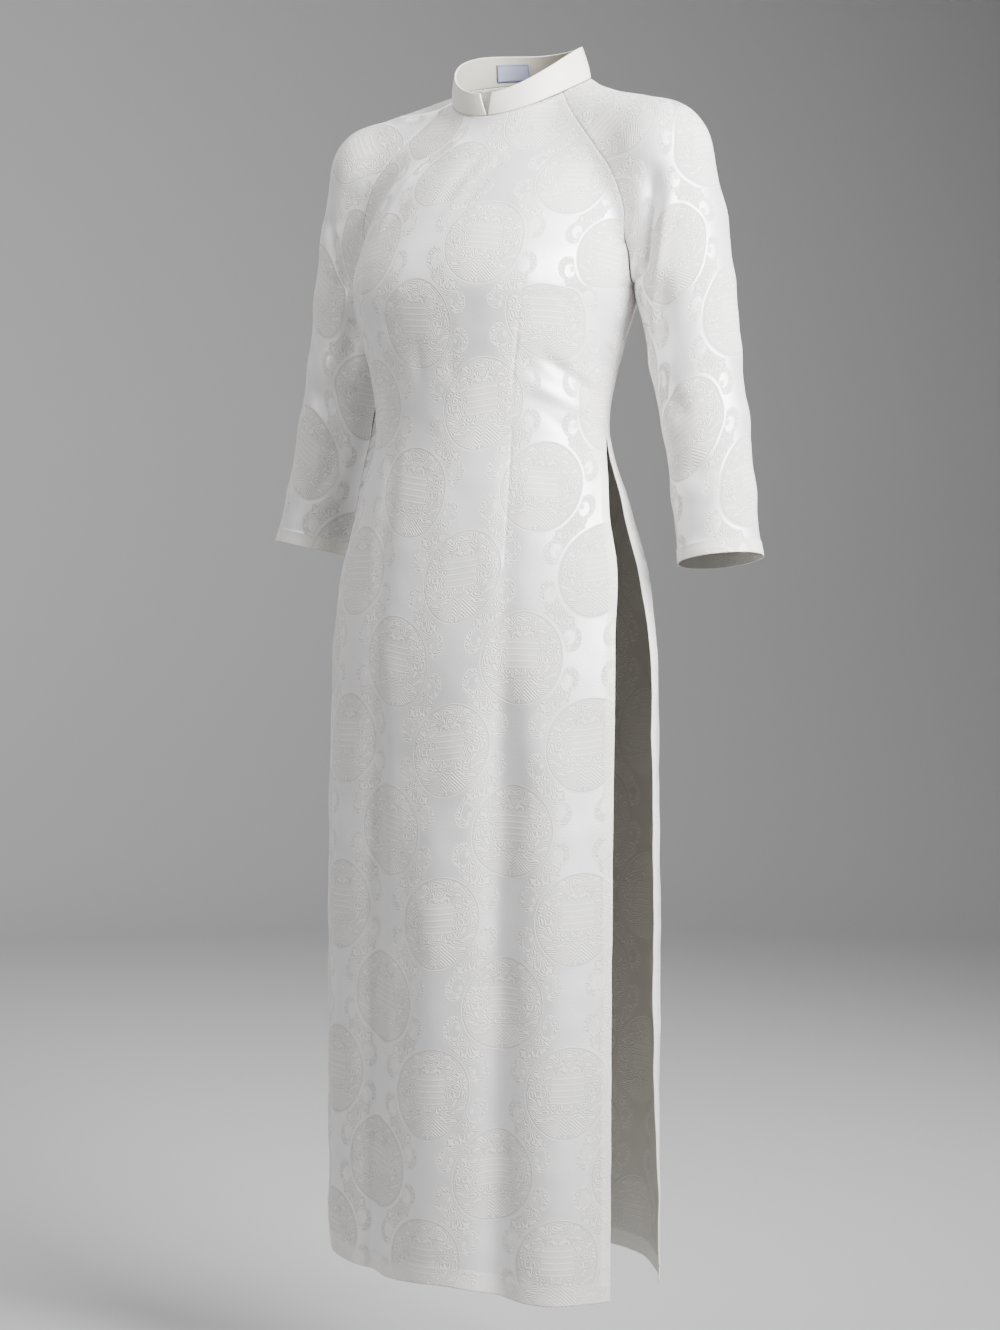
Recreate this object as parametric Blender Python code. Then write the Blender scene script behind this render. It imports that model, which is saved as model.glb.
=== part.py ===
"""Ao dai tunic in its worn form: front, back, two raglan sleeves, stand collar and label.

Metres, +Z up. The origin is at neck level on the axis of the neckline, where the garment is held.
The front faces -Y and the wearer's left is +X. Every cloth piece is a thin wall whose outer points
lie on one smooth worn form, which the tables below give in plain sizes.
"""
import bpy
import bmesh
import numpy as np

# Walls and the clear gap left at every seam
CLOTH_WALL = 0.0015
COLLAR_WALL = 0.0024
LABEL_WALL = 0.001
SEAM_GAP = 0.0003

# Torso sections. Columns: drop below the neck, half width, front y, back y
TORSO_SECTIONS = np.array([
    (-0.035, 0.058, -0.056, 0.054),
    (0.000, 0.070, -0.060, 0.066),
    (0.030, 0.088, -0.063, 0.080),
    (0.048, 0.101, -0.067, 0.087),
    (0.080, 0.122, -0.094, 0.094),
    (0.120, 0.138, -0.130, 0.098),
    (0.170, 0.149, -0.162, 0.093),
    (0.225, 0.152, -0.176, 0.080),
    (0.270, 0.142, -0.169, 0.062),
    (0.310, 0.132, -0.160, 0.049),
    (0.370, 0.128, -0.155, 0.038),
    (0.440, 0.150, -0.162, 0.047),
    (0.500, 0.168, -0.170, 0.058),
    (0.580, 0.179, -0.178, 0.065),
    (0.700, 0.183, -0.180, 0.065),
    (1.250, 0.186, -0.182, 0.062),
])

# Sleeve axis on the wearer's left. Columns: x, y, z, radius
ARM_AXIS = np.array([
    (0.055, 0.000, -0.050, 0.048),
    (0.166, -0.012, -0.093, 0.054),
    (0.184, -0.009, -0.160, 0.0525),
    (0.1965, -0.009, -0.225, 0.0495),
    (0.209, -0.011, -0.295, 0.0455),
    (0.2225, -0.014, -0.360, 0.0425),
    (0.235, -0.021, -0.430, 0.0412),
    (0.247, -0.029, -0.495, 0.0408),
    (0.258, -0.037, -0.560, 0.0404),
])
CUFF_DROP = {"left": 0.497, "right": 0.486}

# Soft union of sleeve and torso: its width high on the shoulder and at the underarm
SHOULDER_BLEND = 0.045
SHOULDER_BLEND_Z = -0.110
UNDERARM_BLEND = 0.010
UNDERARM_DROP = 0.226
ARM_JOINT_BLEND = 0.006
SLEEVE_CLEARANCE = 0.0012

# The top edge of the closed sleeve tube rises towards the outer arm by this much
TUBE_TOP_RISE = 0.040
TUBE_RISE_FADE = 0.08

# Fullness over each bust point: height off the section, place and spread
BUST_FULLNESS = 0.007
BUST_POINT = (0.086, -0.222)
BUST_SPREAD = (0.046, 0.052)

# Neckline and collar rings: half width, half depth, forward shift, and heights by angle
NECKLINE_RING = {"half_width": 0.073, "half_depth": 0.067, "shift": 0.0,
                 "level": -0.0165, "tilt": 0.0255, "saddle": 0.0055}
COLLAR_TOP_RING = {"half_width": 0.067, "half_depth": 0.063, "shift": -0.007,
                   "level": 0.0115, "tilt": 0.0285, "saddle": 0.0085}
COLLAR_HEIGHT = 0.030
COLLAR_SEAM_CLEARANCE = 0.0005
COLLAR_BULGE = 0.001
NOTCH_HALF_ANGLE = (np.radians(0.7), np.radians(5.8))
LABEL_CENTRE_ANGLE = np.radians(216)
LABEL_WIDTH = 0.035
LABEL_HEIGHTS = (0.16, 0.43, 0.70)

# Raglan seams on the wearer's left, from neckline to underarm. Columns: x, y, z
RAGLAN_FRONT_ANGLE = np.radians(65)
RAGLAN_BACK_ANGLE = np.radians(115)
RAGLAN_FRONT = np.array([
    (0.097, -0.047, -0.057),
    (0.130, -0.068, -0.093),
    (0.151, -0.080, -0.122),
    (0.160, -0.078, -0.150),
    (0.157, -0.062, -0.182),
    (0.155, -0.040, -0.207),
])
RAGLAN_BACK = np.array([
    (0.100, 0.050, -0.038),
    (0.130, 0.064, -0.080),
    (0.149, 0.066, -0.120),
    (0.157, 0.054, -0.160),
    (0.155, 0.026, -0.198),
])
UNDERARM = np.array((0.1525, -0.014, -UNDERARM_DROP))

# Ridge from the neck over the shoulder and down the outer arm. Columns: x, y, z
SHOULDER_RIDGE = np.array([
    (0.105, -0.004, -0.010),
    (0.145, -0.010, -0.024),
    (0.186, -0.012, -0.041),
    (0.211, -0.011, -0.062),
    (0.224, -0.010, -0.090),
    (0.232, -0.009, -0.128),
    (0.241, -0.009, -0.168),
])

# Side seams and slits. Columns: drop, angle from centre front in degrees
SLIT_TOP_DROP = 0.373
SIDE_SEAM_ANGLE = np.array([
    (0.226, 105.0),
    (0.290, 103.0),
    (0.373, 98.0),
])
FRONT_EDGE_LEFT = np.array([
    (0.373, 97.5),
    (0.440, 80.0),
    (0.510, 74.0),
    (0.580, 70.0),
    (0.700, 68.0),
    (1.250, 66.0),
])
FRONT_EDGE_RIGHT = np.array([
    (0.373, 97.5),
    (0.440, 82.0),
    (0.510, 76.0),
    (0.580, 71.5),
    (0.700, 69.0),
    (1.250, 67.0),
])
BACK_EDGE_LEFT = np.array([
    (0.373, 98.5),
    (0.420, 93.0),
    (0.500, 90.0),
    (0.560, 93.0),
    (0.700, 94.0),
    (1.000, 95.0),
    (1.150, 103.0),
    (1.250, 105.0),
])
BACK_EDGE_RIGHT = np.array([
    (0.373, 98.5),
    (0.420, 94.0),
    (0.500, 92.0),
    (0.560, 92.0),
    (0.700, 91.0),
    (1.250, 90.0),
])

# Hem: drop at the edges, slope across, extra drop at the centre, and lift of the wearer's right corner
FRONT_HEM = {"drop": 1.215, "slope": 0.012, "bow": 0.008, "corner_lift": 0.022}
BACK_HEM = {"drop": 1.209, "slope": 0.016, "bow": 0.0, "corner_lift": 0.0}

# Largest folds. Columns: start x, y, z, end x, y, z, width, height (negative is a trough)
FRONT_FOLDS = np.array([
    (0.075, -0.145, -0.360, 0.079, -0.164, -0.700, 0.012, -0.0030),
    (0.077, -0.158, -0.560, 0.072, -0.166, -1.240, 0.020, -0.0085),
    (-0.064, -0.150, -0.360, -0.066, -0.168, -0.700, 0.012, -0.0025),
    (-0.066, -0.168, -0.600, -0.078, -0.166, -1.240, 0.018, -0.0065),
    (0.118, -0.140, -0.620, 0.124, -0.142, -1.240, 0.026, 0.0060),
    (0.010, -0.180, -0.700, 0.004, -0.184, -1.240, 0.034, 0.0045),
    (-0.125, -0.140, -0.640, -0.128, -0.140, -1.240, 0.024, 0.0050),
])
BACK_FOLDS = np.array([
    (0.060, 0.036, -0.400, 0.066, 0.050, -1.240, 0.020, -0.0070),
    (-0.064, 0.036, -0.400, -0.072, 0.050, -1.240, 0.020, -0.0080),
    (0.004, 0.060, -0.600, 0.010, 0.062, -1.240, 0.036, 0.0055),
    (0.120, 0.026, -0.560, 0.126, 0.026, -1.240, 0.026, 0.0050),
    (-0.126, 0.026, -0.560, -0.124, 0.026, -1.240, 0.026, 0.0055),
])
SLEEVE_FOLDS = np.array([
    (0.200, -0.060, -0.125, 0.184, -0.058, -0.250, 0.013, -0.0065),
    (0.170, -0.045, -0.200, 0.184, -0.056, -0.310, 0.011, -0.0050),
    (0.186, 0.020, -0.240, 0.216, 0.028, -0.345, 0.012, -0.0045),
    (0.190, -0.048, -0.300, 0.226, -0.056, -0.352, 0.012, -0.0035),
    (0.202, -0.010, -0.330, 0.214, 0.026, -0.385, 0.011, -0.0035),
])

# Rows and columns of the grids
SEAM_ROWS = 11
SIDE_ROWS = 6
SKIRT_ROWS = 17
PANEL_COLUMNS = 22
SLEEVE_COLUMNS = 18
TUBE_ROWS = 11
COLLAR_COLUMNS = 44
COLLAR_ROWS = 3
NECKLINE_FADE_ROWS = 5

# Colours of the cloth and the label
SILK_IVORY = (0.78, 0.77, 0.74, 1.0)
BAND_CREAM = (0.76, 0.74, 0.68, 1.0)
LABEL_BLUE_WHITE = (0.62, 0.68, 0.76, 1.0)


def clear_scene():
    for item in list(bpy.data.objects):
        bpy.data.objects.remove(item, do_unlink=True)


def cloth_material(name, colour, roughness):
    material = bpy.data.materials.new(name)
    material.use_nodes = True
    shader = material.node_tree.nodes["Principled BSDF"]
    shader.inputs["Base Color"].default_value = colour
    shader.inputs["Roughness"].default_value = roughness
    shader.inputs["Metallic"].default_value = 0.0
    return material


def curve_through(knots, values, at):
    """Smooth curve through the values at rising knots, read at the given places."""
    slopes = np.gradient(values, knots, axis=0)
    at = np.clip(at, knots[0], knots[-1])
    row = np.clip(np.searchsorted(knots, at) - 1, 0, len(knots) - 2)
    step = knots[row + 1] - knots[row]
    part = (at - knots[row]) / step
    if values.ndim > 1:
        step = step[..., None]
        part = part[..., None]
    rise = values[row] * (1 + 2 * part) * (1 - part) ** 2 + values[row + 1] * part ** 2 * (3 - 2 * part)
    lean = slopes[row] * part * (1 - part) ** 2 + slopes[row + 1] * part ** 2 * (part - 1)
    return rise + lean * step


def resample(points, count):
    """The given number of evenly spaced points along a smooth line through a few points."""
    lengths = np.linalg.norm(np.diff(points, axis=0), axis=1)
    knots = np.concatenate([[0.0], np.cumsum(lengths)])
    fine = curve_through(knots, points, np.linspace(0, knots[-1], 400))
    run = np.concatenate([[0.0], np.cumsum(np.linalg.norm(np.diff(fine, axis=0), axis=1))])
    places = np.interp(np.linspace(0, run[-1], count), run, np.linspace(0, knots[-1], 400))
    return curve_through(knots, points, places)


def soft_step(low, high, value):
    part = np.clip((value - low) / (high - low), 0, 1)
    return part * part * (3 - 2 * part)


def torso_section(drop):
    """Half width, half depth and middle y of the torso at a drop below the neck."""
    columns = curve_through(TORSO_SECTIONS[:, 0], TORSO_SECTIONS[:, 1:], drop)
    half_width = columns[..., 0]
    front = columns[..., 1]
    back = columns[..., 2]
    return half_width, (back - front) / 2, (back + front) / 2


def torso_distance(points):
    half_width, half_depth, middle = torso_section(-points[..., 2])
    across = points[..., 0] / half_width
    deep = (points[..., 1] - middle) / half_depth
    flat = (np.sqrt(across ** 2 + deep ** 2) - 1) * np.sqrt(half_width * half_depth)
    side = (np.abs(points[..., 0]) - BUST_POINT[0]) / BUST_SPREAD[0]
    height = (points[..., 2] - BUST_POINT[1]) / BUST_SPREAD[1]
    front = soft_step(0.0, -0.6, deep)
    return flat - BUST_FULLNESS * front * np.exp(-side ** 2 - height ** 2)


def arm_distance(points):
    """Distance to the sleeve's form, the same on both sides."""
    mirrored = points.copy()
    mirrored[..., 0] = np.abs(points[..., 0])
    nearest = None
    for start, end in zip(ARM_AXIS[:-1], ARM_AXIS[1:]):
        along = end[:3] - start[:3]
        part = np.clip(((mirrored - start[:3]) @ along) / (along @ along), 0, 1)
        centre = start[:3] + part[..., None] * along
        gap = np.linalg.norm(mirrored - centre, axis=-1) - (start[3] + part * (end[3] - start[3]))
        nearest = gap if nearest is None else soft_union(nearest, gap, ARM_JOINT_BLEND)
    return nearest


def soft_union(first, second, width):
    overlap = np.clip((width - np.abs(first - second)) / width, 0, 1)
    return np.minimum(first, second) - overlap ** 2 * width / 4


def upper_distance(points):
    """Torso and sleeve joined by a soft blend that narrows towards the underarm."""
    rise = soft_step(-UNDERARM_DROP, SHOULDER_BLEND_Z, points[..., 2])
    width = UNDERARM_BLEND + (SHOULDER_BLEND - UNDERARM_BLEND) * rise
    return soft_union(torso_distance(points), arm_distance(points), width)


def slope_of(distance, points):
    step = 0.0002
    parts = []
    for axis in np.eye(3):
        parts.append((distance(points + axis * step) - distance(points - axis * step)) / (2 * step))
    return np.stack(parts, axis=-1)


def onto(distance, points):
    """Moves points to the form's surface along its slope."""
    for _ in range(8):
        slope = slope_of(distance, points)
        steep = np.maximum((slope ** 2).sum(axis=-1), 0.05)
        points = points - (distance(points) / steep)[..., None] * slope
    return points


def outward(distance, points):
    slope = slope_of(distance, points)
    return slope / np.linalg.norm(slope, axis=-1, keepdims=True)


def ring_point(ring, angle):
    """A point on a collar ring; the angle runs from centre front to the wearer's left."""
    x = ring["half_width"] * np.sin(angle)
    y = ring["shift"] - ring["half_depth"] * np.cos(angle)
    z = ring["level"] - ring["tilt"] * np.cos(angle) - ring["saddle"] * np.cos(2 * angle)
    return np.stack([x, y, z], axis=-1)


def torso_point(angle, drop):
    """A point of the torso's section at an angle from centre front."""
    half_width, half_depth, middle = torso_section(drop)
    return np.stack([half_width * np.sin(angle), middle - half_depth * np.cos(angle), -drop], axis=-1)


def arc_through(first, middle, last, count):
    """Evenly spaced points on the circle arc from first through middle to last."""
    a = first - middle
    b = last - middle
    normal = np.cross(a, b)
    centre = middle + np.cross((a @ a) * b - (b @ b) * a, normal) / (2 * (normal @ normal))
    u = first - centre
    radius = np.linalg.norm(u)
    u = u / radius
    v = np.cross(u, normal / np.linalg.norm(normal))
    end = np.arctan2((last - centre) @ v, (last - centre) @ u) % (2 * np.pi)
    turn = np.linspace(0, end, count)
    return centre + radius * (np.cos(turn)[:, None] * u + np.sin(turn)[:, None] * v)


def fold_height(points, folds):
    """Height of the folds at points: soft troughs and ridges along straight stretches."""
    total = np.zeros(points.shape[:-1])
    for fold in folds:
        start = fold[0:3]
        along = fold[3:6] - start
        run = ((points - start) @ along) / (along @ along)
        nearest = start + np.clip(run, 0, 1)[..., None] * along
        gap = np.linalg.norm(points - nearest, axis=-1)
        ends = soft_step(-0.05, 0.25, run)
        if fold[5] > -FRONT_HEM["drop"]:
            ends = ends * soft_step(1.05, 0.75, run)
        total += fold[7] * ends * np.exp(-(gap / fold[6]) ** 2)
    return total


def pull_back(points, rows, column, towards):
    """Draws a border column back from its seam by half the seam gap."""
    inward = points[rows, towards] - points[rows, column]
    length = np.linalg.norm(inward, axis=-1, keepdims=True)
    points[rows, column] += inward / length * (SEAM_GAP * 0.7)


def wall_from_grid(name, outer, inner, material, welded=False):
    """A closed wall between an outer and an inner grid of points."""
    rows, columns = outer.shape[:2]
    mesh = bpy.data.meshes.new(name)
    shape = bmesh.new()
    bmesh.ops.create_grid(shape, x_segments=columns - 1, y_segments=rows - 1, size=1)
    depth = shape.verts.layers.float_vector.new("depth")
    shape.verts.ensure_lookup_table()
    for index, vertex in enumerate(shape.verts):
        row, column = divmod(index, columns)
        vertex.co = outer[row, column]
        vertex[depth] = inner[row, column] - outer[row, column]
    if welded:
        bmesh.ops.remove_doubles(shape, verts=shape.verts, dist=0.00001)
    sheet = list(shape.faces)
    result = bmesh.ops.extrude_face_region(shape, geom=sheet, use_keep_orig=True)
    for item in result["geom"]:
        if isinstance(item, bmesh.types.BMVert):
            item.co += item[depth]
    bmesh.ops.triangulate(shape, faces=shape.faces)
    bmesh.ops.recalc_face_normals(shape, faces=shape.faces)
    shape.verts.layers.float_vector.remove(depth)
    shape.to_mesh(mesh)
    shape.free()
    mesh.shade_smooth()
    mesh.set_sharp_from_angle(angle=np.radians(50))
    mesh.materials.append(material)
    piece = bpy.data.objects.new(name, mesh)
    bpy.context.collection.objects.link(piece)
    return piece


def raglan_seam(ring_angle, table):
    """A raglan seam on the form, from the neckline ring to the underarm."""
    start = ring_point(NECKLINE_RING, ring_angle)
    line = resample(np.vstack([start, table, UNDERARM]), SEAM_ROWS + 1)
    return onto(upper_distance, line)


def neckline_fade(row):
    return np.clip(1 - row / NECKLINE_FADE_ROWS, 0, 1) ** 2


def panel_grid(seam, ring_angles, centre_angle, centre_drops, edges, hem, folds):
    """Outer points and normals of the front or back, from neckline to hem."""
    mirror = np.array((-1, 1, 1))
    neck = ring_point(NECKLINE_RING, ring_angles)
    outer = []
    normals = []
    seam_share = (seam[:, 2] - seam[0, 2]) / (seam[-1, 2] - seam[0, 2])
    for row in range(SEAM_ROWS + 1):
        drop = centre_drops[0] + (centre_drops[1] - centre_drops[0]) * seam_share[row]
        middle = torso_point(np.float64(centre_angle), np.float64(drop))
        line = arc_through(seam[row] * mirror, middle, seam[row], PANEL_COLUMNS + 1)
        if row == 0:
            line = neck
        line = onto(upper_distance, line)
        if row == 0:
            lift = neck - line
        line = line + lift * neckline_fade(row)
        outer.append(line)
        normals.append(outward(upper_distance, line))
    spread = np.linspace(-1, 1, PANEL_COLUMNS + 1)
    share = (spread + 1) / 2
    low = np.linspace(0, 1, SIDE_ROWS + SKIRT_ROWS + 1)[1:]
    slit_share = SIDE_ROWS / (SIDE_ROWS + SKIRT_ROWS)
    for part in low:
        if part <= slit_share + 0.0001:
            edge_drop = UNDERARM_DROP + (SLIT_TOP_DROP - UNDERARM_DROP) * part / slit_share
            sides = np.radians(curve_through(SIDE_SEAM_ANGLE[:, 0], SIDE_SEAM_ANGLE[:, 1], edge_drop))
            left = right = sides
            sag = (centre_drops[1] - UNDERARM_DROP) * (1 - part / slit_share)
            drops = edge_drop + sag * (1 - spread ** 2)
        else:
            down = (part - slit_share) / (1 - slit_share)
            hem_drop = hem["drop"] + hem["slope"] * spread + hem["bow"] * (1 - spread ** 2)
            hem_drop = hem_drop - hem["corner_lift"] * np.clip(-spread, 0, 1) ** 8
            drops = SLIT_TOP_DROP + (hem_drop - SLIT_TOP_DROP) * down
            left = np.radians(curve_through(edges[0][:, 0], edges[0][:, 1], drops[-1]))
            right = np.radians(curve_through(edges[1][:, 0], edges[1][:, 1], drops[0]))
        if centre_angle == 0:
            angles = -right + (right + left) * share
        else:
            angles = -right + (right + left - 2 * np.pi) * share
        line = torso_point(angles, drops)
        line = onto(torso_distance, line)
        outer.append(line)
        normals.append(outward(torso_distance, line))
    outer = np.array(outer)
    normals = np.array(normals)
    outer = outer + normals * fold_height(outer, folds)[..., None]
    every = np.arange(len(outer))
    pull_back(outer, every, 0, 1)
    pull_back(outer, every, -1, -2)
    return outer, normals


def front_panel(material):
    angles = np.linspace(-RAGLAN_FRONT_ANGLE, RAGLAN_FRONT_ANGLE, PANEL_COLUMNS + 1)
    seam = raglan_seam(RAGLAN_FRONT_ANGLE, RAGLAN_FRONT)
    neck_drop = -ring_point(NECKLINE_RING, 0.0)[2]
    edges = (FRONT_EDGE_LEFT, FRONT_EDGE_RIGHT)
    outer, normals = panel_grid(seam, angles, 0, (neck_drop, 0.238), edges, FRONT_HEM, FRONT_FOLDS)
    wall_from_grid("front_panel", outer, outer - normals * CLOTH_WALL, material)


def back_panel(material):
    angles = np.linspace(-RAGLAN_BACK_ANGLE, RAGLAN_BACK_ANGLE - 2 * np.pi, PANEL_COLUMNS + 1)
    seam = raglan_seam(RAGLAN_BACK_ANGLE, RAGLAN_BACK)
    neck_drop = -ring_point(NECKLINE_RING, np.pi)[2]
    edges = (BACK_EDGE_LEFT, BACK_EDGE_RIGHT)
    outer, normals = panel_grid(seam, angles, np.pi, (neck_drop, 0.232), edges, BACK_HEM, BACK_FOLDS)
    wall_from_grid("back_panel", outer, outer - normals * CLOTH_WALL, material)


def clear_of_torso(points, gap):
    """Moves sleeve points out of the torso's form where they come nearer than the gap."""
    depth = torso_distance(points)
    slope = outward(torso_distance, points)
    return points + np.clip(gap - depth, 0, None)[..., None] * slope


def sleeve_grid(cuff_drop):
    """Outer points and normals of the wearer's left sleeve, from neckline to cuff."""
    front = raglan_seam(RAGLAN_FRONT_ANGLE, RAGLAN_FRONT)
    back = raglan_seam(RAGLAN_BACK_ANGLE, RAGLAN_BACK)
    ridge_start = ring_point(NECKLINE_RING, np.pi / 2)
    ridge = resample(np.vstack([ridge_start, SHOULDER_RIDGE]), SEAM_ROWS)
    neck_angles = np.linspace(RAGLAN_FRONT_ANGLE, RAGLAN_BACK_ANGLE, SLEEVE_COLUMNS + 1)
    neck = ring_point(NECKLINE_RING, neck_angles)
    outer = []
    normals = []
    for row in range(SEAM_ROWS):
        line = neck
        if row > 0:
            line = arc_through(front[row], ridge[row], back[row], SLEEVE_COLUMNS + 1)
        line = onto(upper_distance, line)
        if row == 0:
            lift = neck - line
        line = line + lift * neckline_fade(row)
        outer.append(line)
        normals.append(outward(upper_distance, line))
    turn = np.linspace(0, 2 * np.pi, SLEEVE_COLUMNS + 1)
    for drop in np.linspace(UNDERARM_DROP + 0.002, cuff_drop, TUBE_ROWS + 1):
        centre = curve_through(-ARM_AXIS[:, 2], ARM_AXIS[:, :3], np.float64(drop))
        ahead = curve_through(-ARM_AXIS[:, 2], ARM_AXIS[:, :3], np.float64(drop + 0.01))
        axis = (ahead - centre) / np.linalg.norm(ahead - centre)
        inner_side = np.cross(axis, np.cross(np.array((-1.0, 0, 0)), axis))
        inner_side = inner_side / np.linalg.norm(inner_side)
        front_side = np.cross(inner_side, axis)
        reach = ARM_AXIS[4, 3] * (np.cos(turn)[:, None] * inner_side + np.sin(turn)[:, None] * front_side)
        tilt = 1 - soft_step(UNDERARM_DROP, UNDERARM_DROP + TUBE_RISE_FADE, drop)
        line = onto(arm_distance, centre + reach)
        line[:, 2] += tilt * TUBE_TOP_RISE * (1 - np.cos(turn)) / 2
        line = onto(arm_distance, line)
        outer.append(clear_of_torso(line, SLEEVE_CLEARANCE))
        normals.append(outward(arm_distance, line))
    outer = np.array(outer)
    normals = np.array(normals)
    outer = outer + normals * fold_height(outer, SLEEVE_FOLDS)[..., None]
    open_rows = np.arange(SEAM_ROWS)
    pull_back(outer, open_rows, 0, 1)
    pull_back(outer, open_rows, -1, -2)
    return outer, normals


def sleeve(side, material):
    outer, normals = sleeve_grid(CUFF_DROP[side])
    mirror = np.array((1 if side == "left" else -1, 1, 1))
    wall_from_grid("sleeve_" + side, outer * mirror, (outer - normals * CLOTH_WALL) * mirror,
                   material, welded=True)


def grid_normals(points):
    """Normals of a grid of points, pointing away from the collar's middle."""
    down = np.gradient(points, axis=0)
    across = np.gradient(points, axis=1)
    normals = np.cross(down, across)
    normals = normals / np.linalg.norm(normals, axis=-1, keepdims=True)
    away = points - points.mean(axis=(0, 1))
    facing = np.sign((normals * away).sum(axis=-1, keepdims=True))
    return normals * facing


def collar_surface(angles, heights):
    """Points of the collar's outer side; height 0 is the neckline and 1 the top edge."""
    base = ring_point(NECKLINE_RING, angles)
    top = ring_point(COLLAR_TOP_RING, angles)
    bulge = (COLLAR_BULGE * 4 * heights * (1 - heights))[..., None]
    away = base * (1, 1, 0) / np.linalg.norm(base * (1, 1, 0), axis=-1, keepdims=True)
    return base + (top - base) * heights[..., None] + away * bulge


def collar(material):
    heights = np.linspace(COLLAR_SEAM_CLEARANCE / COLLAR_HEIGHT, 1, COLLAR_ROWS + 1)
    share = np.linspace(0, 1, COLLAR_COLUMNS + 1)
    notch = NOTCH_HALF_ANGLE[0] + (NOTCH_HALF_ANGLE[1] - NOTCH_HALF_ANGLE[0]) * heights
    angles = notch[:, None] + (2 * np.pi - 2 * notch[:, None]) * share
    outer = collar_surface(angles, np.repeat(heights[:, None], len(share), axis=1))
    normals = grid_normals(outer)
    wall_from_grid("collar", outer, outer - normals * COLLAR_WALL, material)


def label(material):
    half_turn = LABEL_WIDTH / 2 / COLLAR_TOP_RING["half_width"]
    angles = LABEL_CENTRE_ANGLE + np.linspace(-half_turn, half_turn, 7)
    angle_grid, height_grid = np.meshgrid(angles, LABEL_HEIGHTS)
    surface = collar_surface(angle_grid, height_grid)
    normals = (surface - (0, COLLAR_TOP_RING["shift"] / 2, 0)) * (1, 1, 0)
    normals = normals / np.linalg.norm(normals, axis=-1, keepdims=True)
    outer = surface - normals * (COLLAR_WALL + SEAM_GAP * 2)
    wall_from_grid("label", outer, outer - normals * LABEL_WALL, material)


clear_scene()
silk = cloth_material("silk_brocade", SILK_IVORY, 0.42)
band = cloth_material("collar_satin", BAND_CREAM, 0.5)
woven = cloth_material("woven_label", LABEL_BLUE_WHITE, 0.7)
front_panel(silk)
back_panel(silk)
sleeve("left", silk)
sleeve("right", silk)
collar(band)
label(woven)
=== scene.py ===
import bpy
import bmesh
import numpy as np
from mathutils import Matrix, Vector, noise


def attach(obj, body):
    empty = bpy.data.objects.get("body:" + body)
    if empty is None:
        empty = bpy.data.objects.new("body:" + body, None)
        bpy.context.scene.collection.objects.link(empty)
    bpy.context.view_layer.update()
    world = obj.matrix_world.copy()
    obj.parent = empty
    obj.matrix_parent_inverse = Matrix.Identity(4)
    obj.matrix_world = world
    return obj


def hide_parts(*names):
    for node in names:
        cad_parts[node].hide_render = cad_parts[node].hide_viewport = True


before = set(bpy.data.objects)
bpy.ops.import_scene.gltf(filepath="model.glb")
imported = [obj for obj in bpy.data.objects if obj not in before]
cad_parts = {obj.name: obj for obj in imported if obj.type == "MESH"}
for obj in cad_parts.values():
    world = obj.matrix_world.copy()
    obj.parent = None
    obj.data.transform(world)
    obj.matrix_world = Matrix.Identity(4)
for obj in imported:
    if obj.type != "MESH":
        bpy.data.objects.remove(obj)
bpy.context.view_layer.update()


# Studio. A pale seamless floor curves up into a wall all round. A broad soft light stands in front
# on the wearer's left and a weak one on the other side; three more graze from above and behind.
CAMERA_AZIMUTH = np.radians(32)
CAMERA_DISTANCE = 2.8
CAMERA_HEIGHT = -0.477
AIM_HEIGHT = -0.607
CAMERA_SIDESTEP = -0.0224
PIXELS_PER_METRE = 960
IMAGE_HEIGHT = 1330
SENSOR = 36
FLOOR_HEIGHT = -1.38
FLOOR_RADIUS = 3.4
WALL_CURVE = 1.2
WALL_HEIGHT = 3.2
FLOOR_GREY = (0.54, 0.54, 0.545, 1)
FLOOR_ROUGHNESS = 0.9
WORLD_COLOUR = (0.88, 0.86, 0.835, 1)
WORLD_STRENGTH = 0.075
SOFTBOXES = [
    # name, metres to the camera's right, towards the camera, height, aim height, width, height, watts, spread
    ("key_light", 1.55, 1.50, 0.60, 0.22, 1.4, 1.3, 100, np.radians(96)),
    ("fill_light", -1.50, 1.00, 1.00, -0.05, 1.5, 1.5, 10, np.radians(100)),
    ("top_light", 0.10, 0.30, 2.00, -0.20, 1.4, 1.0, 8, np.radians(180)),
    ("edge_light", 1.90, -1.20, 0.20, -0.40, 0.7, 1.6, 12, np.radians(150)),
    ("back_light", -0.90, -1.70, 2.00, -0.40, 1.6, 1.4, 34, np.radians(150)),
]

camera_right = np.array((np.cos(CAMERA_AZIMUTH), np.sin(CAMERA_AZIMUTH), 0))
camera_back = np.array((np.sin(CAMERA_AZIMUTH), -np.cos(CAMERA_AZIMUTH), 0))
camera_place = camera_right * CAMERA_SIDESTEP + camera_back * CAMERA_DISTANCE + (0, 0, CAMERA_HEIGHT)
camera_aim = camera_right * CAMERA_SIDESTEP + (0, 0, AIM_HEIGHT)


def new_material(name):
    """A new material and its shader."""
    material = bpy.data.materials.new(name)
    material.use_nodes = True
    return material, material.node_tree.nodes["Principled BSDF"]


def stand_at(data, name, place, aim):
    """Puts a camera or light at a place, turned towards its aim."""
    stand = bpy.data.objects.new(name, data)
    stand.location = place
    stand.rotation_euler = Vector(aim - place).to_track_quat("-Z", "Y").to_euler()
    bpy.context.collection.objects.link(stand)
    return stand


camera = bpy.data.cameras.new("camera")
camera.sensor_width = SENSOR
camera.lens = SENSOR * PIXELS_PER_METRE * CAMERA_DISTANCE / IMAGE_HEIGHT
camera.clip_end = 60
bpy.context.scene.camera = stand_at(camera, "camera", camera_place, camera_aim)

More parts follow.
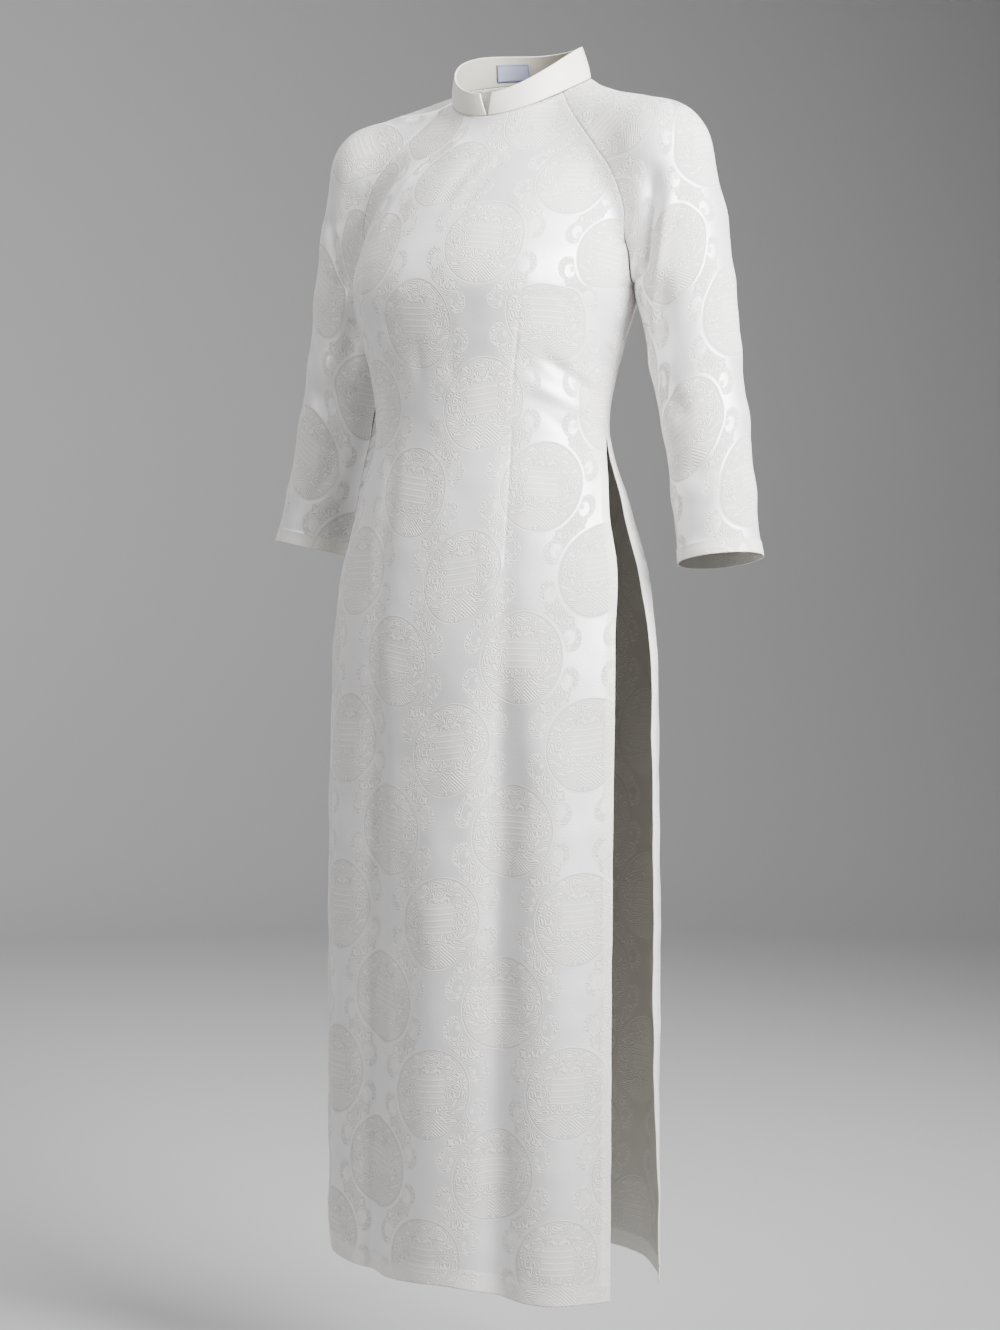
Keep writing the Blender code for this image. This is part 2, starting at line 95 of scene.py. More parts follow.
for name, aside, ahead, height, aim_height, width, tall, watts, spread in SOFTBOXES:
    light = bpy.data.lights.new(name, "AREA")
    light.shape = "RECTANGLE"
    light.size = width
    light.size_y = tall
    light.energy = watts
    light.spread = spread
    place = camera_right * aside + camera_back * ahead + (0, 0, height)
    stand_at(light, name, place, np.array((0, 0, aim_height)))

world = bpy.data.worlds.new("studio")
world.use_nodes = True
world.node_tree.nodes["Background"].inputs["Color"].default_value = WORLD_COLOUR
world.node_tree.nodes["Background"].inputs["Strength"].default_value = WORLD_STRENGTH
bpy.context.scene.world = world

room = bmesh.new()
curve_turn = np.linspace(0, np.pi / 2, 9)
profile = [(0, FLOOR_HEIGHT)]
for turn in curve_turn:
    profile.append((FLOOR_RADIUS + WALL_CURVE * np.sin(turn), FLOOR_HEIGHT + WALL_CURVE * (1 - np.cos(turn))))
profile.append((FLOOR_RADIUS + WALL_CURVE, WALL_HEIGHT))
spokes = [room.verts.new((reach, 0, height)) for reach, height in profile]
for low, high in zip(spokes[:-1], spokes[1:]):
    room.edges.new((low, high))
bmesh.ops.spin(room, geom=room.verts[:] + room.edges[:], axis=(0, 0, 1), cent=(0, 0, 0),
               angle=2 * np.pi, steps=96, use_merge=True)
bmesh.ops.remove_doubles(room, verts=room.verts, dist=0.0001)
bmesh.ops.recalc_face_normals(room, faces=room.faces)
bmesh.ops.reverse_faces(room, faces=room.faces)
floor_mesh = bpy.data.meshes.new("floor")
room.to_mesh(floor_mesh)
room.free()
floor_mesh.shade_smooth()
floor = bpy.data.objects.new("floor", floor_mesh)
bpy.context.collection.objects.link(floor)
floor_paper, floor_shader = new_material("floor_paper")
floor_shader.inputs["Base Color"].default_value = FLOOR_GREY
floor_shader.inputs["Roughness"].default_value = FLOOR_ROUGHNESS
floor_mesh.materials.append(floor_paper)


# Damask silk, the cloth of every panel and sleeve. The ground is glossy satin and the figure is
# woven duller: round medallions holding bars, a fan and curls, between leaves with hooked ends.
# Light lines are woven over the figure, and the cloth looks creamier where it lies double.
REPEAT_ACROSS = 0.14
REPEAT_DOWN = 0.17
MEDALLION = {"half_width": 0.0415, "half_height": 0.0460, "edge": 1.011, "inside": 0.955, "rim": 0.011,
             "soft": 0.010, "clear": 1.07, "clear_soft": 0.012}
LEAF = {"from_x": 0.0465, "from_up": 0.0243, "run_x": -0.023, "run_up": 0.0364, "half_width": 0.0135,
        "taper": 0.0068, "scallop": 0.0034, "scallops": 7.0}
HOOK = {"x": 0.0208, "up": 0.0655, "radius": 0.0098, "squeeze": 0.78, "hole_x": 0.0026, "hole_up": -0.0018,
        "hole": 0.0056, "tongue_x": 0.0052, "tongue": 0.0023, "outline": 0.0009}
BARS = {"half_width": 0.0160, "low": -0.0100, "high": 0.0200, "first": 0.0012, "pitch": 0.0060,
        "half_bar": 0.0007, "plain": 0.45}
FAN = {"peak_x": 0.005, "slope": 0.95, "roof": -0.0185, "half_width": 0.026, "low": -0.041,
       "pitch": 0.0034, "half_line": 0.0010}
SHARP_EDGE = 0.0004
FINE_EDGE = 0.0005
LEAF_EDGE = 0.0006
CURL_GRAIN = 96.0
CURL_TURNS = 9.0
CURL_LEVEL = 0.25
CURL_SOFT = 0.16
SLUB_SCALE = 700.0
SLUB_TONE = 0.06
SLUB_RELIEF = 0.7
MOTTLE_SCALE = 26.0
MOTTLE_TONE = 0.05
MOTTLE_ROUGHNESS = 0.08
LINE_RELIEF = 1.6
RELIEF_STRENGTH = 0.6
RELIEF_HEIGHT = 0.00035
DOUBLED_MARK = 0.001
SATIN_IVORY = (0.90, 0.89, 0.90, 1)
FILL_IVORY = (0.62, 0.60, 0.59, 1)
LINE_IVORY = (0.84, 0.82, 0.795, 1)
DOUBLED_IVORY = (0.86, 0.835, 0.775, 1)
DOUBLED_SHARE = 0.75
# The reverse side's colours are duller and about half as bright as the face: the reverse really is duller,
# and painted shade stands in for the shadow inside the garment.
REVERSE_IVORY_SHADED = (0.53, 0.51, 0.47, 1)
REVERSE_FILL_SHADED = (0.56, 0.54, 0.50, 1)
REVERSE_LINE_SHADED = (0.62, 0.60, 0.555, 1)


class Thread:
    """A shader value that Python sums can be written with; each sum adds its Math node."""

    def __init__(self, tree, socket=None):
        self.tree = tree
        self.socket = socket

    def add(self, kind, settings=None, sockets=None, output=0):
        """Adds a node: settings first, then values or links by socket name or number."""
        made = self.tree.nodes.new(kind)
        for name, value in (settings or {}).items():
            setattr(made, name, value)
        for key, value in (sockets or {}).items():
            if isinstance(value, Thread):
                self.tree.links.new(value.socket, made.inputs[key])
            else:
                made.inputs[key].default_value = value
        return Thread(self.tree, made.outputs[output])

    def math(self, operation, *values):
        return self.add("ShaderNodeMath", {"operation": operation}, dict(enumerate(values)))

    def __add__(self, other):
        return self.math("ADD", self, other)

    def __sub__(self, other):
        return self.math("SUBTRACT", self, other)

    def __rsub__(self, other):
        return self.math("SUBTRACT", other, self)

    def __mul__(self, other):
        return self.math("MULTIPLY", self, other)

    def __truediv__(self, other):
        return self.math("DIVIDE", self, other)

    def __abs__(self):
        return self.math("ABSOLUTE", self)

    def least(self, other):
        return self.math("MINIMUM", self, other)

    def most(self, other):
        return self.math("MAXIMUM", self, other)

    def wrapped(self, period):
        return self.math("WRAP", self, period / 2, -period / 2)

    def above(self, level, soft):
        """0 under the level and 1 over it, with a soft edge."""
        return self.add("ShaderNodeMapRange", {"interpolation_type": "SMOOTHSTEP"},
                        {"Value": self, "From Min": level - soft, "From Max": level + soft})

    def below(self, level, soft):
        return 1 - self.above(level, soft)

    def blend(self, first, second):
        """A number between first and second, by this thread's value."""
        return self.add("ShaderNodeMix", {"data_type": "FLOAT"}, {0: self, 2: first, 3: second})

    def tint(self, first, second):
        """A colour between first and second, by this thread's value."""
        return self.add("ShaderNodeMix", {"data_type": "RGBA"}, {0: self, 6: first, 7: second}, 2)

    def part(self, number):
        """One of the three numbers of a vector."""
        return self.add("ShaderNodeSeparateXYZ", {}, {0: self}, number)

    def cloud(self, where, scale, detail=1.0):
        return self.add("ShaderNodeTexNoise", {}, {"Vector": where, "Scale": scale, "Detail": detail})


def length_of(x, y):
    squares = x * x + y * y
    return squares.math("SQRT", squares)


def leaf_hook(x, up):
    """A leaf's curled end: a thick crescent with a light outline, round a hole with a tongue in it."""
    aside = x - HOOK["x"]
    beyond = (up - HOOK["up"]) * HOOK["squeeze"]
    off = length_of(aside, beyond)
    hole = length_of(aside - HOOK["hole_x"], beyond - HOOK["hole_up"])
    tongue = length_of(aside - HOOK["tongue_x"], beyond).below(HOOK["tongue"], FINE_EDGE)
    off_hole = hole.above(HOOK["hole"], FINE_EDGE)
    crescent = off.below(HOOK["radius"], FINE_EDGE) * off_hole
    outline = abs(off - HOOK["radius"]).below(HOOK["outline"], SHARP_EDGE)
    outline = outline.most(abs(hole - HOOK["hole"]).below(HOOK["outline"], SHARP_EDGE)) * crescent
    return crescent.most(tongue), outline.most(tongue), off_hole


def damask_figure(x, y):
    """The figure at x, y: its shapes, and the raised lines in them, each from 0 to 1."""
    half = REPEAT_ACROSS / 2
    high = REPEAT_DOWN / 2
    near_x = x.wrapped(REPEAT_ACROSS)
    near_y = y.wrapped(REPEAT_DOWN)
    reach = abs(near_x) / half + abs(near_y) / high
    beyond = reach.math("GREATER_THAN", reach, 1.0)
    mx = abs(beyond.blend(near_x, (x - half).wrapped(REPEAT_ACROSS)))
    my = beyond.blend(near_y, (y - high).wrapped(REPEAT_DOWN))
    up = abs(my)

    place = x.add("ShaderNodeCombineXYZ", {}, {0: mx, 1: my, 2: 0.3})
    grain = x.cloud(place, CURL_GRAIN, 0.0)
    curls = abs((grain * CURL_TURNS).wrapped(1.0)).above(CURL_LEVEL, CURL_SOFT)

    off_middle = length_of(mx / MEDALLION["half_width"], my / MEDALLION["half_height"])
    medallion = off_middle.below(MEDALLION["edge"], MEDALLION["soft"])
    in_medallion = off_middle.below(MEDALLION["inside"], MEDALLION["soft"])
    rim = abs(off_middle - 1.0).below(MEDALLION["rim"], MEDALLION["soft"])

    off_bars = abs(my - (BARS["low"] + BARS["high"]) / 2)
    bar_ground = mx.below(BARS["half_width"], FINE_EDGE) * off_bars.below(
        (BARS["high"] - BARS["low"]) / 2, FINE_EDGE)
    bars = abs((my - BARS["low"] - BARS["first"]).wrapped(BARS["pitch"]))
    bars = bars.below(BARS["half_bar"], SHARP_EDGE)
    roof = my + abs(mx - FAN["peak_x"]) * FAN["slope"] - FAN["roof"]
    fan_ground = roof.below(0.0, FINE_EDGE) * mx.below(FAN["half_width"], LEAF_EDGE)
    fan_ground = fan_ground * my.above(FAN["low"], LEAF_EDGE)
    fan = abs(roof.wrapped(FAN["pitch"])).below(FAN["half_line"], LEAF_EDGE)
    heart = bar_ground.blend(curls, bars * (1 - BARS["plain"]) + BARS["plain"])
    heart = fan_ground.blend(heart, fan)

    run = LEAF["run_x"] ** 2 + LEAF["run_up"] ** 2
    part = ((mx - LEAF["from_x"]) * (LEAF["run_x"] / run)
            + (up - LEAF["from_up"]) * (LEAF["run_up"] / run)).most(0.0).least(1.0)
    off_leaf = length_of(mx - LEAF["from_x"] - part * LEAF["run_x"],
                         up - LEAF["from_up"] - part * LEAF["run_up"])
    off_leaf = off_leaf + abs((part * LEAF["scallops"]).wrapped(1.0)) * LEAF["scallop"]
    off_leaf = off_leaf + (part - 0.5) * (part - 0.5) * 4 * LEAF["taper"]
    near_hook, near_outline, near_open = leaf_hook(mx, up)
    far_hook, far_outline, far_open = leaf_hook(half - mx, high - up)
    hooks = near_hook.most(far_hook)
    outlines = near_outline.most(far_outline)
    leaf = off_leaf.below(LEAF["half_width"], LEAF_EDGE) * near_open * far_open
    leaf = leaf.most(hooks) * off_middle.above(MEDALLION["clear"], MEDALLION["clear_soft"])

    shapes = medallion.most(leaf)
    lines = (in_medallion * heart).most(rim).most(leaf * curls.most(outlines))
    return shapes, lines


def damask_silk(name, satin, fill, line, satin_roughness, figure_roughness, satin_metallic):
    """The silk as a material; it reads the cloth's own across and up, and where it lies double."""
    material, shader = new_material(name)
    tree = material.node_tree
    start = Thread(tree)
    cloth = start.add("ShaderNodeAttribute", {"attribute_name": "cloth"}, {}, "Vector")
    doubled = cloth.part(2) * (DOUBLED_SHARE / DOUBLED_MARK)
    shapes, lines = damask_figure(cloth.part(0), cloth.part(1))
    slub = start.cloud(cloth, SLUB_SCALE, 0.0)
    mottle = start.cloud(cloth, MOTTLE_SCALE, 1.0)
    colour = doubled.tint(shapes.tint(satin, lines.tint(fill, line)), DOUBLED_IVORY)
    shade = (mottle - 0.5) * MOTTLE_TONE + (slub - 0.5) * SLUB_TONE + 1
    shaded = start.add("ShaderNodeVectorMath", {"operation": "SCALE"}, {0: colour, "Scale": shade}, 0)
    tree.links.new(shaded.socket, shader.inputs["Base Color"])
    roughness = shapes.blend(satin_roughness, figure_roughness) + (mottle - 0.5) * MOTTLE_ROUGHNESS
    tree.links.new(roughness.socket, shader.inputs["Roughness"])
    metallic = (1 - shapes) * (1 - doubled) * satin_metallic
    tree.links.new(metallic.socket, shader.inputs["Metallic"])
    relief = shapes * (lines - 0.5) * LINE_RELIEF + slub * SLUB_RELIEF
    bump = start.add("ShaderNodeBump", {},
                     {"Strength": RELIEF_STRENGTH, "Distance": RELIEF_HEIGHT, "Height": relief})
    tree.links.new(bump.socket, shader.inputs["Normal"])
    shader.inputs["Sheen Weight"].default_value = 0.12
    shader.inputs["Sheen Roughness"].default_value = 0.4
    shader.inputs["Specular IOR Level"].default_value = 0.5
    return material


silk = damask_silk("silk_damask", SATIN_IVORY, FILL_IVORY, LINE_IVORY,
                   satin_roughness=0.57, figure_roughness=0.85, satin_metallic=0.58)
# Inner faces of the panels and sleeves: duller reverse silk, darkened with painted shade for the inside of
# the garment.
silk_reverse_shaded = damask_silk("silk_damask_reverse_shaded", REVERSE_IVORY_SHADED, REVERSE_FILL_SHADED, REVERSE_LINE_SHADED,
                           satin_roughness=0.62, figure_roughness=0.55, satin_metallic=0.0)


# Worn form. The panels and sleeves are flat cloth shaped by darts and seams; worn, they lie on one
# smooth rounded form. Each section of it is an oval, and each sleeve is a tapering bent tube.
TORSO_SECTIONS = np.array([
    # drop below the neck, half width, front y, back y
    (-0.035, 0.058, -0.056, 0.054),
    (0.000, 0.070, -0.060, 0.066),
    (0.030, 0.088, -0.063, 0.080),
    (0.048, 0.101, -0.067, 0.087),
    (0.080, 0.122, -0.094, 0.094),
    (0.120, 0.138, -0.130, 0.098),
    (0.170, 0.149, -0.162, 0.093),
    (0.225, 0.152, -0.176, 0.080),
    (0.270, 0.142, -0.169, 0.062),
    (0.310, 0.132, -0.160, 0.049),
    (0.370, 0.128, -0.155, 0.038),
    (0.440, 0.150, -0.162, 0.047),
    (0.500, 0.168, -0.170, 0.058),
    (0.580, 0.179, -0.178, 0.065),
    (0.700, 0.183, -0.180, 0.065),
    (1.250, 0.186, -0.182, 0.062),
])
ARM_AXIS = np.array([
    # x, y, z, radius on the wearer's left
    (0.055, 0.000, -0.050, 0.048),
    (0.166, -0.012, -0.093, 0.054),
    (0.184, -0.009, -0.160, 0.0525),
    (0.1965, -0.009, -0.225, 0.0495),
    (0.209, -0.011, -0.295, 0.0455),
    (0.2225, -0.014, -0.360, 0.0425),
    (0.235, -0.021, -0.430, 0.0412),
    (0.247, -0.029, -0.495, 0.0408),
    (0.258, -0.037, -0.560, 0.0404),
])
UNDERARM_DROP = 0.226
UNDERARM = np.array((0.1525, -0.014, -UNDERARM_DROP))
BLEND_WIDTHS = {"shoulder": 0.045, "shoulder_z": -0.110, "underarm": 0.010, "arm_joint": 0.006}
LETS_GO = {"from_z": -0.175, "to_z": -0.215, "by": 0.06}
BUST = {"fullness": 0.007, "x": 0.086, "z": -0.222, "spread_x": 0.046, "spread_z": 0.052}
NECKLINE_RING = {"half_width": 0.073, "half_depth": 0.067, "shift": 0.0,
                 "level": -0.0165, "tilt": 0.0255, "saddle": 0.0055}
FORM_STEP = 0.0002
FORM_ROUNDS = 7
LEAST_STEEPNESS = 0.05


def curve_through(knots, values, at):
    """Smooth curve through the values at rising knots, read at the given places."""
    slopes = np.gradient(values, knots, axis=0)
    at = np.clip(at, knots[0], knots[-1])
    row = np.clip(np.searchsorted(knots, at) - 1, 0, len(knots) - 2)
    step = knots[row + 1] - knots[row]
    part = (at - knots[row]) / step
    if values.ndim > 1:
        step = step[..., None]
        part = part[..., None]
    rise = values[row] * (1 + 2 * part) * (1 - part) ** 2 + values[row + 1] * part ** 2 * (3 - 2 * part)
    lean = slopes[row] * part * (1 - part) ** 2 + slopes[row + 1] * part ** 2 * (part - 1)
    return rise + lean * step


def soft_step(low, high, value):
    part = np.clip((value - low) / (high - low), 0, 1)
    return part * part * (3 - 2 * part)


def torso_section(drop):
    """Half width, half depth and middle y of the torso at a drop below the neck."""
    columns = curve_through(TORSO_SECTIONS[:, 0], TORSO_SECTIONS[:, 1:], drop)
    return columns[..., 0], (columns[..., 2] - columns[..., 1]) / 2, (columns[..., 2] + columns[..., 1]) / 2


def torso_distance(points):
    half_width, half_depth, middle = torso_section(-points[..., 2])
    across = points[..., 0] / half_width
    deep = (points[..., 1] - middle) / half_depth
    flat = (np.sqrt(across ** 2 + deep ** 2) - 1) * np.sqrt(half_width * half_depth)
    side = (np.abs(points[..., 0]) - BUST["x"]) / BUST["spread_x"]
    height = (points[..., 2] - BUST["z"]) / BUST["spread_z"]
    front = soft_step(0.0, -0.6, deep)
    return flat - BUST["fullness"] * front * np.exp(-side ** 2 - height ** 2)


def soft_union(first, second, width):
    overlap = np.clip((width - np.abs(first - second)) / width, 0, 1)
    return np.minimum(first, second) - overlap ** 2 * width / 4


def arm_distance(points):
    """Distance to the sleeve's form, the same on both sides."""
    mirrored = points.copy()
    mirrored[..., 0] = np.abs(points[..., 0])
    nearest = None
    for start, end in zip(ARM_AXIS[:-1], ARM_AXIS[1:]):
        along = end[:3] - start[:3]
        part = np.clip(((mirrored - start[:3]) @ along) / (along @ along), 0, 1)
        centre = start[:3] + part[..., None] * along
        gap = np.linalg.norm(mirrored - centre, axis=-1) - (start[3] + part * (end[3] - start[3]))
        nearest = gap if nearest is None else soft_union(nearest, gap, BLEND_WIDTHS["arm_joint"])
    return nearest


def upper_distance(points, torso_free=0.0, arm_free=0.0):
    """Torso and sleeve joined by a blend that narrows to the underarm, where one may let go."""
    height = points[..., 2]
    rise = soft_step(-UNDERARM_DROP, BLEND_WIDTHS["shoulder_z"], height)
    width = BLEND_WIDTHS["underarm"] + (BLEND_WIDTHS["shoulder"] - BLEND_WIDTHS["underarm"]) * rise
    free = soft_step(LETS_GO["from_z"], LETS_GO["to_z"], height)
    torso = torso_distance(points) + torso_free * free
    arm = arm_distance(points) + arm_free * free
    return soft_union(torso, arm, width)


def chest_distance(points):
    """The upper form as the front and back follow it."""
    return upper_distance(points, arm_free=LETS_GO["by"])


def sleeve_distance(points):
    """The upper form as a sleeve follows it."""
    return upper_distance(points, torso_free=LETS_GO["by"])


def slope_of(distance, points):
    parts = []
    for axis in np.eye(3) * FORM_STEP:
        parts.append((distance(points + axis) - distance(points - axis)) / (2 * FORM_STEP))
    return np.stack(parts, axis=-1)


def onto(distance, points):
    """Moves points to the form's surface along its slope."""
    for _ in range(FORM_ROUNDS):
        slope = slope_of(distance, points)
        steep = np.maximum((slope ** 2).sum(axis=-1), LEAST_STEEPNESS)
        points = points - (distance(points) / steep)[..., None] * slope
    return points


def outward(distance, points):
    slope = slope_of(distance, points)
    return slope / np.linalg.norm(slope, axis=-1, keepdims=True)


def ring_point(ring, angle):
    """A point on a neck ring; the angle runs from centre front to the wearer's left."""
    x = ring["half_width"] * np.sin(angle)
    y = ring["shift"] - ring["half_depth"] * np.cos(angle)
    z = ring["level"] - ring["tilt"] * np.cos(angle) - ring["saddle"] * np.cos(2 * angle)
    return np.stack([x, y, z], axis=-1)


def torso_point(angle, drop):
    half_width, half_depth, middle = torso_section(drop)
    return np.stack([half_width * np.sin(angle), middle - half_depth * np.cos(angle), -drop], axis=-1)


# Front panel. One length of silk from the neckline to the hem, shaped by two long waist darts and
# two bust darts, sewn to the sleeves at the raglan seams and to the back down to the side slits.
RAGLAN_FRONT_ANGLE = np.radians(65)
RAGLAN_FRONT = np.array([
    # x, y, z on the wearer's left, between the neckline and the underarm
    (0.097, -0.047, -0.057),
    (0.130, -0.068, -0.093),
    (0.151, -0.080, -0.122),
    (0.160, -0.078, -0.150),
    (0.157, -0.062, -0.182),
    (0.155, -0.040, -0.207),
])
SLIT_TOP_DROP = 0.373
SIDE_SEAM_ANGLE = np.array([
    # drop, degrees from centre front
    (0.226, 105.0),
    (0.290, 103.0),
    (0.373, 98.0),
])
FRONT_EDGE_LEFT = np.array([
    (0.373, 97.5),
    (0.440, 80.0),
    (0.510, 74.0),
    (0.580, 70.0),
    (0.700, 68.0),
    (1.250, 66.0),
])
FRONT_EDGE_RIGHT = np.array([
    (0.373, 97.5),
    (0.440, 82.0),
    (0.510, 76.0),
    (0.580, 71.5),
    (0.700, 69.0),
    (1.250, 67.0),
])
FRONT_HEM = {"drop": 1.215, "slope": 0.012, "bow": 0.008, "corner_lift": 0.022,
             "lift": 0.009, "lift_at": 0.12, "lift_width": 0.24}
FRONT_CHEST_DROP = 0.238
CLOTH_THICKNESS = 0.0009
SEAM_HALF_GAP = 0.0002
SEAM_SINK = 0.0006
SEAM_ROLL = 0.0014
HEM_DEPTH = 0.0175
HEM_STEP = 0.0003
SLIT_HEM_DEPTH = 0.0105
HEM_RIDGE = 0.0005
RIDGE_WIDTH = 0.0012
SLANT_FROM = 0.90
FRONT_CREASES = np.array([
    # start x, y, z, end x, y, z, width, height (negative is a trough)
    (0.075, -0.145, -0.360, 0.079, -0.164, -0.700, 0.012, -0.0030),
    (0.077, -0.158, -0.560, 0.072, -0.166, -1.240, 0.021, -0.0145),
    (-0.064, -0.150, -0.360, -0.066, -0.168, -0.700, 0.012, -0.0025),
    (-0.066, -0.168, -0.600, -0.078, -0.166, -1.240, 0.017, -0.0085),
    (0.118, -0.140, -0.620, 0.124, -0.142, -1.240, 0.026, 0.0060),
    (0.010, -0.180, -0.700, 0.004, -0.184, -1.240, 0.030, 0.0060),
    (-0.125, -0.140, -0.640, -0.128, -0.140, -1.240, 0.024, 0.0050),
    (0.102, -0.140, -0.292, 0.132, -0.062, -0.338, 0.007, -0.0032),
    (0.086, -0.146, -0.318, 0.128, -0.078, -0.352, 0.008, 0.0024),
    (0.094, -0.143, -0.338, 0.122, -0.095, -0.376, 0.006, -0.0022),
    (0.084, -0.145, -0.300, 0.104, -0.128, -0.316, 0.005, -0.0014),
    (-0.058, -0.164, -0.250, -0.050, -0.150, -0.296, 0.0045, -0.0028),
    (-0.092, -0.158, -0.228, -0.088, -0.152, -0.256, 0.003, 0.0012),
    (0.020, -0.100, -0.085, -0.004, -0.150, -0.150, 0.009, -0.0014),
    (0.044, -0.100, -0.090, 0.020, -0.150, -0.160, 0.008, -0.0013),
    (-0.080, -0.100, -0.105, -0.100, -0.140, -0.185, 0.010, -0.0018),
    (-0.060, -0.100, -0.095, -0.085, -0.150, -0.180, 0.009, 0.0014),
    (-0.105, -0.100, -0.130, -0.118, -0.120, -0.200, 0.008, -0.0022),
    (0.105, -0.100, -0.120, 0.075, -0.140, -0.160, 0.016, 0.0018),
    (-0.020, -0.160, -0.270, -0.022, -0.158, -0.330, 0.006, -0.0011),
    (0.020, -0.162, -0.262, 0.016, -0.157, -0.325, 0.005, -0.0009),
    (0.090, -0.150, -0.395, 0.122, -0.100, -0.440, 0.012, -0.0016),
    (-0.095, -0.120, -0.340, -0.115, -0.100, -0.400, 0.010, -0.0020),
])
FRONT_DARTS = np.array([
    # start x, y, z, end x, y, z, width, height; sewn, so narrow
    (0.096, -0.155, -0.226, 0.0765, -0.140, -0.315, 0.0016, -0.0010),
    (0.0765, -0.140, -0.315, 0.073, -0.139, -0.387, 0.0016, -0.0010),
    (0.073, -0.139, -0.387, 0.076, -0.157, -0.500, 0.0016, -0.0008),
    (-0.092, -0.150, -0.250, -0.0885, -0.131, -0.315, 0.0016, -0.0010),
    (-0.0885, -0.131, -0.315, -0.083, -0.133, -0.388, 0.0016, -0.0010),
    (-0.083, -0.133, -0.388, -0.073, -0.156, -0.500, 0.0016, -0.0008),
    (0.125, -0.123, -0.244, 0.137, -0.048, -0.292, 0.0028, -0.0016),
    (-0.125, -0.123, -0.244, -0.137, -0.048, -0.292, 0.0028, -0.0016),
])
SEAM_POINTS = 12
SEAM_HOLD = 0.016
NECK_HOLD = 0.45
SEAM_ROWS = 62
SIDE_ROWS = 60
SKIRT_ROWS = 156
PANEL_COLUMNS = 148


def resample(points, count):
    """The given number of evenly spaced points along a smooth line through a few points."""
    lengths = np.linalg.norm(np.diff(points, axis=0), axis=1)
    knots = np.concatenate([[0.0], np.cumsum(lengths)])
    fine = curve_through(knots, points, np.linspace(0, knots[-1], 400))
    run = np.concatenate([[0.0], np.cumsum(np.linalg.norm(np.diff(fine, axis=0), axis=1))])
    places = np.interp(np.linspace(0, run[-1], count), run, np.linspace(0, knots[-1], 400))
    return curve_through(knots, points, places)


def neck_fade(rows):
    """How far each row is drawn to the neckline: all of the first one, then less and less."""
    return np.clip(1 - np.arange(rows) / (SEAM_ROWS * NECK_HOLD), 0, 1) ** 2


def raglan_seam(ring_angle, table):
    """A raglan seam on the form, from the neckline ring to the underarm."""
    line = resample(np.vstack([ring_point(NECKLINE_RING, ring_angle), table, UNDERARM]), SEAM_POINTS)
    line[:-1] = onto(upper_distance, line[:-1])
    line[-1:] = onto(torso_distance, line[-1:])
    line = resample(line, SEAM_ROWS + 1)
    return line + (ring_point(NECKLINE_RING, ring_angle) - line[0]) * neck_fade(SEAM_ROWS + 1)[:, None]


def held_at_seams(points, first, last):
    """Draws the ends of each row to its two seams, and less and less the cloth beside them."""
    across = run_along(points, 1)
    back = across[:, -1:] - across
    points = points + (first - points[:, 0])[:, None, :] * np.exp(-(across / SEAM_HOLD) ** 2)[..., None]
    return points + (last - points[:, -1])[:, None, :] * np.exp(-(back / SEAM_HOLD) ** 2)[..., None]


def arc_through(first, middle, last, shares):
    """Points at shares of the circle arc from first through middle to last."""
    a = first - middle
    b = last - middle
    normal = np.cross(a, b)
    centre = middle + np.cross((a @ a) * b - (b @ b) * a, normal) / (2 * (normal @ normal))
    u = first - centre
    radius = np.linalg.norm(u)
    u = u / radius
    v = np.cross(u, normal / np.linalg.norm(normal))
    turn = shares * (np.arctan2((last - centre) @ v, (last - centre) @ u) % (2 * np.pi))
    return centre + radius * (np.cos(turn)[:, None] * u + np.sin(turn)[:, None] * v)


def closer_near(count, marks, gain=2.2, width=0.02):
    """Shares from 0 to 1 that lie closer together near the marks."""
    fine = np.linspace(0, 1, 2000)
    crowd = 1 + sum(gain * np.exp(-((fine - mark) / width) ** 2) for mark in marks)
    run = np.concatenate([[0.0], np.cumsum((crowd[1:] + crowd[:-1]) / 2)])
    return np.interp(np.linspace(0, run[-1], count + 1), run, fine)


def crease_height(points, creases):
    """Height of soft troughs and ridges along straight stretches near the points."""
    total = np.zeros(points.shape[:-1])
    for crease in creases:
        start = crease[0:3]
        along = crease[3:6] - start
        run = ((points - start) @ along) / (along @ along)
        nearest = start + np.clip(run, 0, 1)[..., None] * along
        gap = np.linalg.norm(points - nearest, axis=-1)
        ends = soft_step(-0.05, 0.25, run)
        if crease[5] > -FRONT_HEM["drop"]:
            ends = ends * soft_step(1.05, 0.75, run)
        total += crease[7] * ends * np.exp(-(gap / crease[6]) ** 2)
    return total


def dart_height(points, darts):
    """Depth of sewn dart lines, full along their whole run."""
    total = np.zeros(points.shape[:-1])
    for dart in darts:
        start = dart[0:3]
        along = dart[3:6] - start
        run = np.clip(((points - start) @ along) / (along @ along), 0, 1)
        gap = np.linalg.norm(points - start - run[..., None] * along, axis=-1)
        total = np.minimum(total, dart[7] * np.exp(-(gap / dart[6]) ** 2))
    return total


def uneven(points, size, height, seed):
    """A small random swell of the cloth, the same at each run."""
    flat = points.reshape(-1, 3)
    swell = [noise.noise(Vector(point / size) + Vector((seed, 0, 0))) for point in flat]
    return height * np.array(swell).reshape(points.shape[:-1])


def run_along(points, axis):
    """Lengths along the rows or columns of a grid of points, from its first."""
    steps = np.linalg.norm(np.diff(points, axis=axis), axis=-1)
    return np.insert(np.cumsum(steps, axis=axis), 0, 0, axis=axis)


def sink_at_seam(points, normals, off_seam, rows):
    """Rolls the cloth down into a seam; off_seam is each point's distance from it."""
    points[rows] -= normals[rows] * (SEAM_SINK * np.exp(-(off_seam[rows] / SEAM_ROLL) ** 2))[..., None]


def draw_in(points, rows, column, towards):
    """Draws a border column back from its seam by half the gap."""
    inward = points[rows, towards] - points[rows, column]
    points[rows, column] += inward / np.linalg.norm(inward, axis=-1, keepdims=True) * SEAM_HALF_GAP


